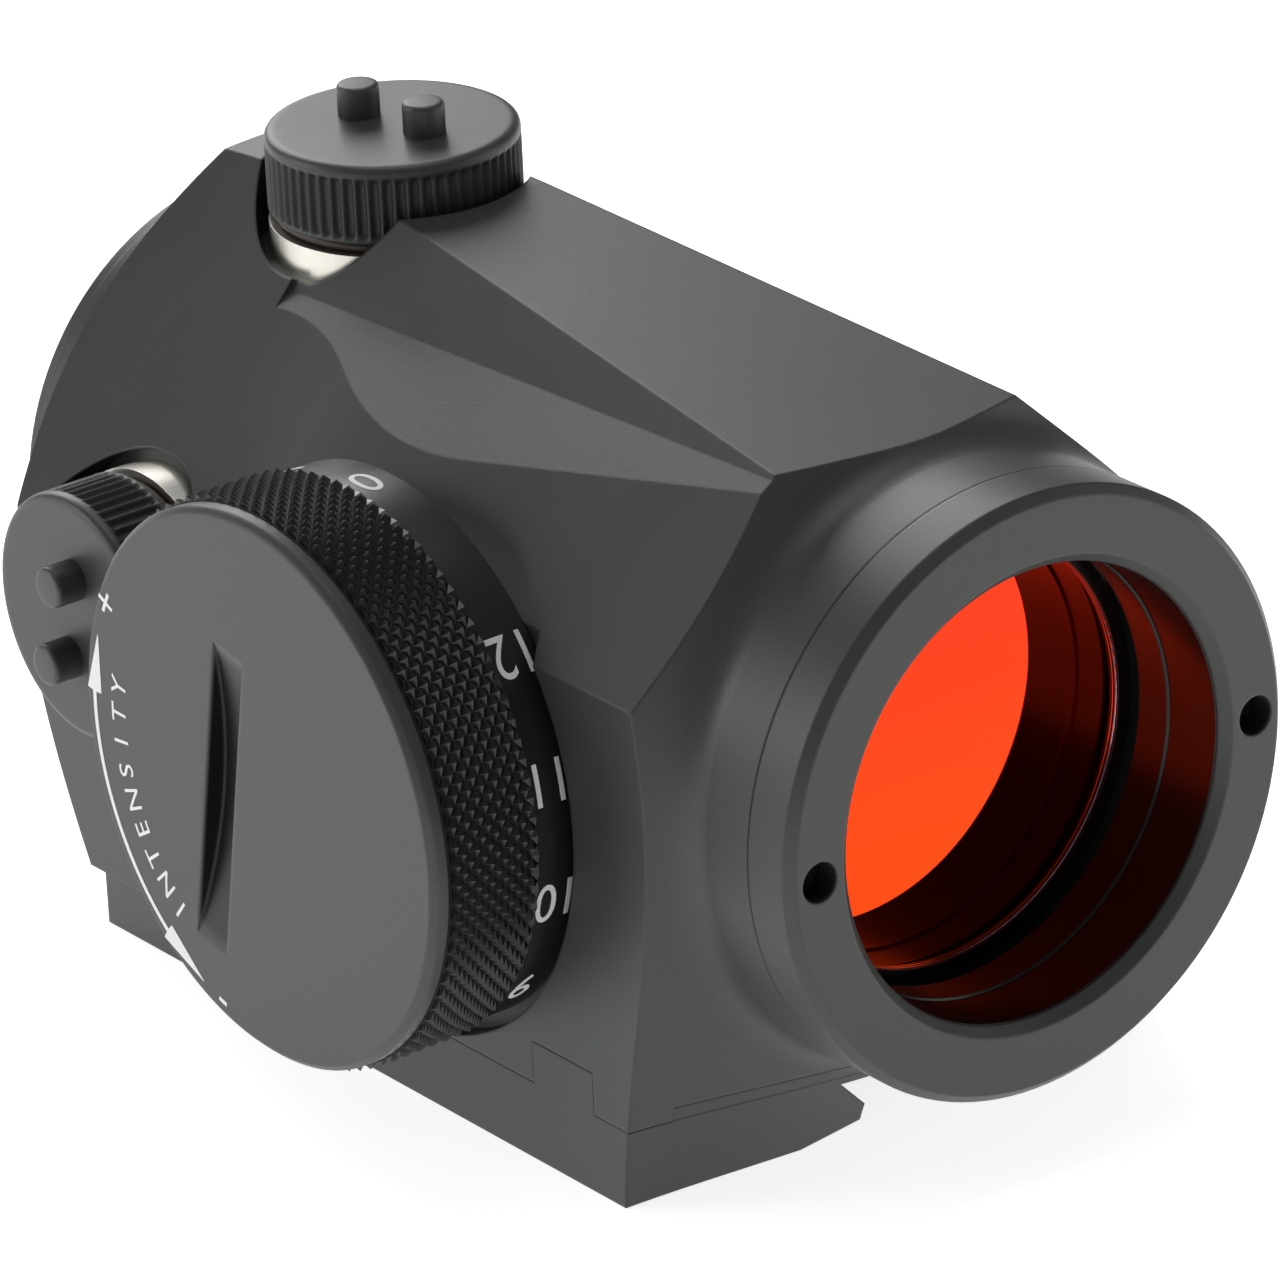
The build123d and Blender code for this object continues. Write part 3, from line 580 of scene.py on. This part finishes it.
class Finish(Enum):
    """Every finish of the sight, each built once."""

    ANODISED = BlastedAnodising("anodised")
    CAP_ANODISED = BlastedAnodising("cap_anodised")
    # Battery cap with painted shade inside its coin slot.
    SLOTTED_CAP = SlottedCapAnodising("slot_shaded_cap_anodised", edge_mm=0.3)
    # Front ring with a painted shadow line at its seam with the housing.
    RING_ANODISED = SeamedAnodising("ring_seam_shadow_anodised", axis="Y", place_mm=-28.04)
    BASE_ANODISED = KeyedAnodising("base_shadow_lined_anodised")
    KNURL_BLACK = BlastedAnodising("knurl_black", (0.011, 0.013, 0.012), 0.3, 0.0, 0.09, 0.003, 0.02)
    BAND_BLACK = BlastedAnodising("band_black", (0.014, 0.016, 0.015), 0.3, 0.0, 0.1, 0.002, 0.06)
    BORE_BLACK = BlastedAnodising("bore_black", (0.012, 0.006, 0.005), 0.25, 0.4, 0.1, 0.001, 0.05)
    NICKEL = TurnedMetal("nickel", (0.78, 0.75, 0.68))
    STEEL = TurnedMetal("steel", (0.56, 0.56, 0.55))
    BLACK_STEEL = TurnedMetal("black_steel", (0.05, 0.05, 0.052), 0.35)
    SPRING_STEEL = TurnedMetal("spring_steel", (0.4, 0.38, 0.35), 0.3)
    GOLD = TurnedMetal("contact_gold", (0.85, 0.62, 0.26), 0.22)
    BATTERY = TurnedMetal("battery_can", (0.75, 0.75, 0.73), 0.3)
    SEAL = DullSolid("seal_rubber", (0.045, 0.026, 0.018), 0.5)
    # Near-black painted shade for the blind holes and the knob's rim gap.
    VOID = DullSolid("painted_shade_black", (0.003, 0.003, 0.003), 0.9)
    PRINT = DullSolid("white_print", (0.85, 0.86, 0.84), 0.55, 0.06, 0.08)
    BOARD = DullSolid("circuit_board", (0.02, 0.14, 0.05), 0.45)
    DIODE = DullSolid("diode_red", (0.5, 0.01, 0.005), 0.2, coat=0.6)
    COATED_LENS = MirrorCoating("coated_lens", (0.98, 0.062, 0.004), (0.98, 0.04, 0.012))
    LENS_EDGE = MirrorCoating("lens_edge", (0.45, 0.55, 0.75), (0.5, 0.62, 0.85), 0.1)
    GLASS = ClearGlass("clear_glass")

    def material(self) -> bpy.types.Material:
        """The finish's material, built on first use."""
        if self.name not in BUILT:
            BUILT[self.name] = self.value.build()
        return BUILT[self.name]


def dress(piece: bpy.types.Object, finish: Finish) -> None:
    """Give a piece one finish in place of all its material slots."""
    piece.data.materials.clear()
    piece.data.materials.append(finish.material())


def dress_node(node: str, finish: Finish) -> None:
    """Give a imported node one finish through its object's slots."""
    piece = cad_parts[node]
    for slot in piece.material_slots:
        slot.link = "OBJECT"
        slot.material = finish.material()


def join_body(piece: bpy.types.Object, body: str, slot: str, *nodes: str) -> None:
    """Ride a piece on a body and hide the nodes it stands for."""
    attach(piece, body)
    if nodes:
        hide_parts(*nodes)
    log.info("%s rides on %s", piece.name, body)


# ------------------------------------------------------------------ printing
@dataclass(frozen=True)
class Printing:
    """White printed characters, laid on a curved or flat face; sizes are millimetres."""

    lift: float = 0.02
    cuts: int = 3
    longest_edge: float = 0.5
    capital_share: float = 0.7

    def shape(self, text: str, height: float) -> tuple[Array, list[list[int]]]:
        """Outline mesh of some text, centred, in millimetres.

        Args:
            text: Characters to print.
            height: Capital height in millimetres.
        Returns:
            (n, 2) points and their faces.
        """
        curve = bpy.data.curves.new("letter", "FONT")
        curve.body = text
        curve.align_x = "CENTER"
        curve.resolution_u = 6
        holder = bpy.data.objects.new("letter", curve)
        bpy.context.scene.collection.objects.link(holder)
        flat = bpy.data.meshes.new_from_object(holder)
        bpy.data.objects.remove(holder)
        points = vertex_places(flat)[:, :2]
        faces = [list(p.vertices) for p in flat.polygons]
        bpy.data.meshes.remove(flat)
        bpy.data.curves.remove(curve)
        low, high = points.min(axis=0), points.max(axis=0)
        return (points - (low + high) / 2) * (height / self.capital_share), faces

    def stamp(self, name: str, text: str, height: float, wrap: Wrap) -> bpy.types.Object:
        """Print text through a mapping from flat millimetres to world metres.

        Args:
            name: Name of the piece.
            text: Characters to print.
            height: Capital height in millimetres.
            wrap: Function of flat x, flat y and lift that gives world points.
        Returns:
            The printed piece, a thin closed skin.
        """
        points, faces = self.shape(text, height)
        sheet = bmesh.new()
        corners = [sheet.verts.new((x, y, 0)) for x, y in points]
        for face in faces:
            sheet.faces.new([corners[i] for i in face])
        bmesh.ops.remove_doubles(sheet, verts=sheet.verts, dist=1e-5)
        bmesh.ops.triangulate(sheet, faces=sheet.faces)
        long_edges = [edge for edge in sheet.edges if edge.calc_length() > self.longest_edge]
        bmesh.ops.subdivide_edges(sheet, edges=long_edges, cuts=self.cuts)
        bmesh.ops.triangulate(sheet, faces=sheet.faces)
        mesh = bpy.data.meshes.new(name)
        sheet.to_mesh(mesh)
        sheet.free()
        flat = vertex_places(mesh)[:, :2]
        triangles = [list(p.vertices) for p in mesh.polygons]
        bpy.data.meshes.remove(mesh)
        top = wrap(flat[:, 0], flat[:, 1], self.lift)
        under = wrap(flat[:, 0], flat[:, 1], -self.lift)
        count = len(flat)
        edges: dict[tuple[int, int], int] = {}
        for a, b, c in triangles:
            for edge in ((a, b), (b, c), (c, a)):
                edges[edge] = 1
        rim = [(a, b) for a, b in edges if (b, a) not in edges]
        walls = [[a, b, b + count, a + count] for a, b in rim]
        lower = [[c + count, b + count, a + count] for a, b, c in triangles]
        piece = mesh_object(name, np.concatenate([top, under]), triangles + lower + walls, smooth=False)
        face_outwards(piece)
        dress(piece, Finish.PRINT)
        return piece


# ------------------------------------------------------------------ sub-assemblies
@dataclass
class Housing:
    """Blasted housing, its front and rear rings and the painted shadow lines of the seams between them."""

    finishes: dict[str, Finish] = field(
        default_factory=lambda: {
            "housing": Finish.ANODISED,
            "front_ring": Finish.RING_ANODISED,
            "rear_ring": Finish.ANODISED,
            "mount_base": Finish.BASE_ANODISED,
            "clamp_jaw": Finish.ANODISED,
            "front_seal": Finish.SEAL,
            "rear_seal": Finish.SEAL,
            "rear_window": Finish.GLASS,
            "clamp_guide_pin_front": Finish.STEEL,
            "clamp_guide_pin_rear": Finish.STEEL,
            "clamp_screw": Finish.BLACK_STEEL,
            "clamp_screw_clip": Finish.SPRING_STEEL,
            "tube_spring": Finish.SPRING_STEEL,
        }
    )

    def build(self) -> None:
        """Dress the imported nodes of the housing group."""
        for node, finish in self.finishes.items():
            dress_node(node, finish)
        for count in range(1, 5):
            dress_node(f"base_screw_{count}", Finish.BLACK_STEEL)


@dataclass
class Objective:
    """Front opening: dark bore sleeve, coated lens and its bright rim lines."""

    bore: float = 11.2
    sleeve: float = 0.06
    lens_station: float = 6.95
    lens_radius: float = 10.6
    lens_sag: float = 0.25
    lens_back: float = 9.0
    bead_circle: float = 10.72
    bead_station: float = 7.12
    bead_radius: float = 0.1
    spanner_circle: float = 13.1

    def build(self) -> None:
        """Build the bore sleeve, lens face and rims, and dress the optics behind."""
        self.sleeve_piece()
        self.lens_piece()
        self.rim_pieces()
        self.spanner_holes()
        inner = {
            "inner_tube": Finish.BORE_BLACK,
            "lens_retainer": Finish.BORE_BLACK,
            "emitter_block": Finish.BORE_BLACK,
            "emitter_diode": Finish.DIODE,
            "objective_rear_lens": Finish.GLASS,
            "gimbal_ring": Finish.STEEL,
            "gimbal_yaw_pin_top": Finish.STEEL,
            "gimbal_yaw_pin_bottom": Finish.STEEL,
            "gimbal_pitch_pin_left": Finish.STEEL,
            "gimbal_pitch_pin_right": Finish.STEEL,
        }
        for node, finish in inner.items():
            dress_node(node, finish)

    def sleeve_piece(self) -> None:
        """Dark glossy lining of the open bore, with a shallow step near its back."""
        inside, outside = self.bore - self.sleeve, self.bore - 0.005
        outline = [
            (outside, 0.55, 0),
            (outside, 5.98, 0),
            (inside, 5.98, 0),
            (inside, 4.3, 0),
            (inside - 0.12, 4.2, 0),
            (inside - 0.12, 3.9, 0),
            (inside, 3.8, 0),
            (inside, 0.62, 0),
            (outside, 0.55, 0),
        ]
        piece = turned("objective_bore_sleeve", OPTIC, rounded_profile(outline), 256)
        soften_by_angle(piece)
        dress(piece, Finish.BORE_BLACK)
        join_body(piece, "housing", "tube_black")

    def lens_piece(self) -> None:
        """Coated front lens: its face is a shallow dome of height sag (1 - (r/R)^2)."""
        radius = np.linspace(0, self.lens_radius, 40)
        front = self.lens_station + self.lens_sag * (radius / self.lens_radius) ** 2
        back = [[self.lens_radius, self.lens_back], [0.0, self.lens_back]]
        profile = np.concatenate([np.stack([radius, front], axis=1), back])
        piece = turned("coated_front_lens", OPTIC, profile, 256)
        soften_by_angle(piece)
        dress(piece, Finish.COATED_LENS)
        join_body(piece, "tube", "coated_lens", "objective_front_lens")

    def rim_pieces(self) -> None:
        """Ground edge of the lens: a thin bluish bead round its face."""
        ring = np.linspace(0, TURN, 13)
        radius = self.bead_circle + self.bead_radius * np.cos(ring)
        profile = np.stack([radius, self.bead_station + self.bead_radius * np.sin(ring)], axis=1)
        piece = turned("lens_edge_bead", OPTIC, profile, 256)
        dress(piece, Finish.LENS_EDGE)
        join_body(piece, "tube", "clear_glass")

    def spanner_holes(self) -> None:
        """Black cups in the two blind holes of the front ring, painting the shade inside them."""
        for side, name in ((-self.spanner_circle, "left"), (self.spanner_circle, "right")):
            table = Turntable(OPTIC.origin + [side, 0, 0], OPTIC.side, OPTIC.up, OPTIC.out)
            outline = [
                (0, 1.46, 0),
                (0.99, 1.46, 0),
                (0.99, 0.12, 0),
                (0.95, 0.12, 0),
                (0.95, 1.4, 0),
                (0, 1.4, 0),
            ]
            piece = turned(f"spanner_hole_{name}", table, rounded_profile(outline), 48)
            soften_by_angle(piece)
            # Painted shade: the near-black finish darkens the inside of the hole.
            dress(piece, Finish.VOID)
            join_body(piece, "housing", "tube_black")


@dataclass
class Turret:
    """One capped adjuster: knurled cap with two pins, insert, seal and plunger."""

    name: str
    table: Turntable
    radius: float = 6.3
    low: float = 16.1
    top: float = 20.1
    knurls: int = 60
    knurl_depth: float = 0.3
    knurl_low: float = 16.35
    knurl_high: float = 19.45
    pin_radius: float = 1.05
    pin_height: float = 1.6
    pin_root: float = 0.6
    pin_edge: float = 0.25

    def build(self) -> None:
        """Build the cap and its pins, and dress the parts beneath."""
        self.cap_piece()
        for count in (1, 2):
            self.pin_piece(count)
        dress_node(f"{self.name}_insert", Finish.NICKEL)
        dress_node(f"{self.name}_adjuster", Finish.NICKEL)
        dress_node(f"{self.name}_plunger", Finish.STEEL)
        dress_node(f"{self.name}_cap_seal", Finish.SEAL)

    def groove(self, radius: Array, angle: Array, height: Array) -> Array:
        """Straight knurl: a rounded saw of grooves that run out towards both ends.

        The depth grows with 1 - |cos(n a / 2)|, scaled up and clipped so that the valleys are
        wide, times a factor that falls to 0 over a quarter circle at each end of the knurl.
        """
        wave = np.abs(np.cos(angle * self.knurls / 2))
        valley = np.clip((1 - wave) * 2.2, 0, 1) ** 0.8
        reach = np.minimum(height - self.knurl_low, self.knurl_high - height) / 0.35
        runout = np.sqrt(np.clip(1 - (1 - np.clip(reach, 0, 1)) ** 2, 0, 1))
        outer = (radius > self.radius - 0.02).astype(float)
        return -self.knurl_depth * valley * runout * outer

    def cap_piece(self) -> None:
        """Knurled cap with a filleted top edge, hollow below."""
        outline = [
            (0, 18.8, 0),
            (5.06, 18.8, 0),
            (5.06, self.low, 0),
            (self.radius, self.low, 0.12),
            (self.radius, self.top, 0.5),
            (0, self.top, 0),
        ]
        profile = dense_profile(rounded_profile(outline, 8), 0.12)
        around = self.knurls * 10
        piece = turned(f"{self.name}_cap_knurled", self.table, profile, around, self.groove)
        soften_by_angle(piece, 50)
        dress(piece, Finish.CAP_ANODISED)
        join_body(piece, f"{self.name}_cap", "anodised", f"{self.name}_cap")

    def pin_piece(self, count: int) -> None:
        """Short drive pin with a rounded end."""
        node = f"{self.name}_cap_pin_{count}"
        low, high = node_box(node)
        middle = (low + high) / 2
        flat = np.eye(3) - np.outer(self.table.out, self.table.out)
        origin = flat @ middle + self.table.origin * np.abs(self.table.out)
        table = Turntable(origin, self.table.side, self.table.up, self.table.out)
        root, end = self.top - self.pin_root, self.top + self.pin_height
        radius = self.pin_radius
        outline = [(0, root, 0), (radius, root, 0), (radius, end, self.pin_edge), (0, end, 0)]
        piece = turned(f"{node}_rounded", table, rounded_profile(outline, 6), 64)
        soften_by_angle(piece, 50)
        dress(piece, Finish.CAP_ANODISED)
        join_body(piece, f"{self.name}_cap", "anodised", node)


@dataclass
class IntensityKnob:
    """Brightness knob: number band, diamond-knurled grip and slotted battery cap."""

    table: Turntable
    band_radius: float = 13.7
    grip_radius: float = 14.1
    low: float = 15.45
    band_top: float = 18.0
    grip_top: float = 23.1
    face: float = 24.1
    diamonds: int = 92
    rows: float = 6.5
    diamond_depth: float = 0.34
    positions: int = 14
    digit_height: float = 2.15
    digit_width: float = 0.86
    digit_lift: float = 0.25
    first_digit_angle: float = 88.5
    word: str = "INTENSITY"
    word_ends: tuple[float, float] = (231.0, 170.7)
    word_radius: float = 11.05
    letter_height: float = 1.15
    sign_radius: float = 12.95
    sign_height: float = 1.7
    arrow_radius: float = 13.0
    printing: Printing = field(default_factory=Printing)

    def build(self) -> None:
        """Build the knob, its cap and print, and dress the parts inside."""
        self.band_piece()
        self.grip_piece()
        self.gap_piece()
        self.digits()
        self.cap_markings()
        inner = {
            "battery_cap": Finish.SLOTTED_CAP,
            "battery_cap_seal": Finish.SEAL,
            "battery": Finish.BATTERY,
            "battery_contact": Finish.GOLD,
            "contact_wiper": Finish.GOLD,
            "switch_board": Finish.BOARD,
            "knob_spindle": Finish.STEEL,
            "knob_clip": Finish.SPRING_STEEL,
            "detent_ball": Finish.STEEL,
            "detent_spring": Finish.SPRING_STEEL,
        }
        for node, finish in inner.items():
            dress_node(node, finish)

    def band_piece(self) -> None:
        """Body of the knob: number band outside, battery well inside."""
        core = self.grip_radius - self.diamond_depth - 0.06
        outline = [
            (2.49, self.low, 0),
            (self.band_radius, self.low, 0.12),
            (self.band_radius, self.band_top, 0.08),
            (core, self.band_top + 0.02, 0),
            (core, self.grip_top, 0),
            (12.25, self.grip_top, 0),
            (12.25, 19.9, 0),
            (10.15, 19.9, 0),
            (10.15, 18.7, 0),
            (6.0, 18.7, 0),
            (6.0, 17.0, 0),
            (2.49, 17.0, 0),
            (2.49, self.low, 0),
        ]
        piece = turned("knob_number_band", self.table, rounded_profile(outline), 256)
        soften_by_angle(piece)
        dress(piece, Finish.BAND_BLACK)
        join_body(piece, "knob", "black_anodised", "intensity_knob")

    def grip_piece(self) -> None:
        """Diamond knurl: two families of helical V grooves leave four-sided pyramids.

        Every half step of the grid is either a peak or a crossing of grooves, and each
        cell is split along the line that joins its crossings.
        """
        around = self.diamonds * 2
        rows = int(self.rows * 2) + 1
        row, column = np.meshgrid(np.arange(rows), np.arange(around), indexing="ij")
        peak = (row + column) % 2 == 1
        height = self.band_top + 0.05 + (self.grip_top - self.band_top - 0.1) * row / (rows - 1)
        radius = np.where(peak, self.grip_radius, self.grip_radius - self.diamond_depth)
        radius = np.where((row == 0) & peak, self.grip_radius - self.diamond_depth * 0.6, radius)
        angle = column * TURN / around
        outer = self.table.polar(radius, angle, height).reshape(-1, 3)
        core = self.grip_radius - self.diamond_depth - 0.05
        ends = height[[0, -1]]
        inner = self.table.polar(np.full_like(ends, core), angle[[0, -1]], ends)
        quads = grid_faces(rows, around, True)
        even = ~peak.reshape(-1)[quads[:, 0]]
        along = np.concatenate([quads[even][:, [0, 1, 2]], quads[even][:, [0, 2, 3]]])
        across = np.concatenate([quads[~even][:, [0, 1, 3]], quads[~even][:, [1, 2, 3]]])
        step = np.arange(around)
        edge = np.stack([step, (step + 1) % around])
        low, high = edge, edge + (rows - 1) * around
        core_low, core_high = edge + len(outer), edge + len(outer) + around
        low_wall = np.concatenate([core_low, low[::-1]]).T
        high_wall = np.concatenate([high, core_high[::-1]]).T
        inner_wall = np.concatenate([core_high, core_low[::-1]]).T
        sides = (along, across, low_wall, high_wall, inner_wall)
        faces = [face for side in sides for face in side.tolist()]
        points = np.concatenate([outer, inner.reshape(-1, 3)])
        piece = mesh_object("knob_diamond_grip", points, faces, smooth=False)
        face_outwards(piece)
        dress(piece, Finish.KNURL_BLACK)
        join_body(piece, "knob", "black_anodised", "intensity_knob")

    def gap_piece(self) -> None:
        """Painted shadow: a black ring where the gap between the knob's rim and the battery cap lies in
        shade.
        """
        outline = [(13.3, 23.08, 0), (13.84, 23.08, 0), (13.84, 23.2, 0), (13.3, 23.2, 0), (13.3, 23.08, 0)]
        piece = turned("knob_rim_gap_shadow", self.table, rounded_profile(outline), 256)
        soften_by_angle(piece)
        # Painted shade: near-black ring filling the gap.
        dress(piece, Finish.VOID)
        join_body(piece, "knob", "black_anodised")

    def digits(self) -> None:
        """Numbers 0 to 12 round the band, read from outside with their tops along it."""
        middle = (self.low + self.band_top) / 2 + self.digit_lift
        for number in range(self.positions - 1):
            steps = 0 if number == 0 else number - self.positions
            angle = math.radians(self.first_digit_angle + steps * 360 / self.positions)

            def wrap(x: Array, y: Array, lift: float, angle: float = angle) -> Array:
                """Flat x runs outwards along the axis and flat y back round the band."""
                turn = angle - y / self.band_radius
                return self.table.polar(self.band_radius + lift, turn, middle + x * self.digit_width)

            piece = self.printing.stamp(f"band_number_{number}", str(number), self.digit_height, wrap)
            join_body(piece, "knob", "black_anodised")

    def cap_markings(self) -> None:
        """Word, signs and double arrow near the rear rim of the battery cap."""

        def on_arc(radius: float, angle: float) -> Wrap:
            """Mapping that bends flat text round the cap with its top outwards."""

            def wrap(x: Array, y: Array, lift: float) -> Array:
                """Flat x runs clockwise round the cap and flat y outwards."""
                return self.table.polar(radius + y, math.radians(angle) - x / radius, self.face + lift)

            return wrap

        angles = np.linspace(*self.word_ends, len(self.word))
        for count, (letter, angle) in enumerate(zip(self.word, angles), 1):
            place = on_arc(self.word_radius, angle)
            piece = self.printing.stamp(f"cap_letter_{count}", letter, self.letter_height, place)
            join_body(piece, "battery_cap", "anodised")
        for name, sign, angle in (("plus", "+", 152.6), ("minus", "-", 252.5)):
            place = on_arc(self.sign_radius, angle)
            piece = self.printing.stamp(f"cap_{name}", sign, self.sign_height, place)
            join_body(piece, "battery_cap", "anodised")
        self.arrow_piece()

    def arrow_piece(self) -> None:
        """Double-headed arc: its half width swells from the line to each head."""
        tip, head, line = 0.02, 0.55, 0.13
        degrees = np.concatenate([[162.0, 175.8, 176.0], np.linspace(177, 230, 40), [231.0, 231.2, 245.5]])
        width = np.concatenate([[tip, head, line], np.full(40, line), [line, head, tip]])
        across = np.array([-1.0, 1.0])
        angle, side = np.meshgrid(np.radians(degrees), across, indexing="ij")
        radius = self.arrow_radius + side * width[:, None]
        top = self.table.polar(radius, angle, self.face + self.printing.lift).reshape(-1, 3)
        under = self.table.polar(radius, angle, self.face - self.printing.lift).reshape(-1, 3)
        quads = grid_faces(len(degrees), 2, False)
        count = len(top)
        rim = np.concatenate([np.arange(0, count, 2), np.arange(1, count, 2)[::-1]])
        beside = np.roll(rim, -1)
        walls = np.stack([rim + count, beside + count, beside, rim], axis=1)
        faces = quads.tolist() + (quads[:, ::-1] + count).tolist() + walls.tolist()
        piece = mesh_object("cap_arrow", np.concatenate([top, under]), faces, smooth=False)
        dress(piece, Finish.PRINT)
        join_body(piece, "battery_cap", "anodised")


# ------------------------------------------------------------------ stage
@dataclass
class Studio:
    """Pale floor, soft lights and the camera."""

    azimuth: float = -37.05
    elevation: float = 23.93
    roll: float = -2.73
    eye: tuple[float, float, float] = (-233.72, -310.69, 186.40)
    lens_mm: float = 247.0
    floor_half: float = 4000.0
    floor_glow: float = 0.8

    def build(self) -> None:
        """Build the floor, world, lights and camera."""
        bpy.context.scene.view_settings.view_transform = "Standard"
        self.floor()
        self.world()
        self.camera()
        self.softbox("behind", (200, 640, 400), (0, 0, 10), 460, 3.2)
        self.softbox("overhead", (60, 60, 720), (0, 0, 0), 420, 1.0)
        self.softbox("left_behind", (-560, 420, 240), (0, 0, 10), 300, 1.3)
        self.softbox("front_right", (620, -420, 260), (0, 0, 10), 300, 0.5)

    def floor(self) -> None:
        """Pale floor just under the object."""
        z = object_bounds()[0][2] - 0.05 * MM
        half = self.floor_half * MM
        corners = np.array([[-half, -half, z], [half, -half, z], [half, half, z], [-half, half, z]])
        piece = mesh_object("floor", corners, [[0, 1, 2, 3]])
        shader = Shader("pale_floor")
        cloud = shader.noise(300, 1.0)
        shader.set(Base_Color=shader.mix(cloud, (0.9, 0.9, 0.9), (0.92, 0.92, 0.92)), Roughness=0.9)
        shader.set(Emission_Color=(1.0, 1.0, 1.0, 1.0), Emission_Strength=self.floor_glow)
        piece.data.materials.append(shader.material)
        piece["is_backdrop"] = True

    def world(self) -> None:
        """Dim even surroundings."""
        world = bpy.data.worlds.new("studio")
        world.use_nodes = True
        world.node_tree.nodes["Background"].inputs["Color"].default_value = (0.9, 0.95, 1.0, 1.0)
        world.node_tree.nodes["Background"].inputs["Strength"].default_value = 0.2
        bpy.context.scene.world = world

    def softbox(
        self, name: str, place: Sequence[float], aim: Sequence[float], size: float, power: float
    ) -> None:
        """Square area light, with sizes in millimetres and power in watts."""
        data = bpy.data.lights.new(name, "AREA")
        data.size = size * MM
        data.energy = power
        lamp = bpy.data.objects.new(name, data)
        lamp.location = Vector(place) * MM
        lamp.rotation_euler = (Vector(aim) - Vector(place)).to_track_quat("-Z", "Y").to_euler()
        bpy.context.scene.collection.objects.link(lamp)

    def camera(self) -> None:
        """Camera turned by azimuth, elevation and roll about its own line of sight."""
        a, e, r = (math.radians(v) for v in (self.azimuth, self.elevation, self.roll))
        back = Vector((math.sin(a) * math.cos(e), -math.cos(a) * math.cos(e), math.sin(e)))
        level = Vector((math.cos(a), math.sin(a), 0))
        over = back.cross(level)
        right = level * math.cos(r) + over * math.sin(r)
        up = over * math.cos(r) - level * math.sin(r)
        data = bpy.data.cameras.new("camera")
        data.sensor_width = 36.0
        data.lens = self.lens_mm
        data.clip_start = 0.01
        data.clip_end = 50.0
        camera = bpy.data.objects.new("camera", data)
        turn = Matrix((right, up, back)).transposed()
        camera.matrix_world = Matrix.Translation(Vector(self.eye) * MM) @ turn.to_4x4()
        bpy.context.scene.collection.objects.link(camera)
        bpy.context.scene.camera = camera


def main() -> None:
    """Build every sub-assembly in order."""
    logging.basicConfig(level=logging.INFO)
    Housing().build()
    Objective().build()
    Turret("elevation", top_table("elevation_cap")).build()
    Turret("windage", side_table("windage_cap")).build()
    IntensityKnob(side_table("intensity_knob")).build()
    Studio().build()


if __name__ == "__main__":
    main()
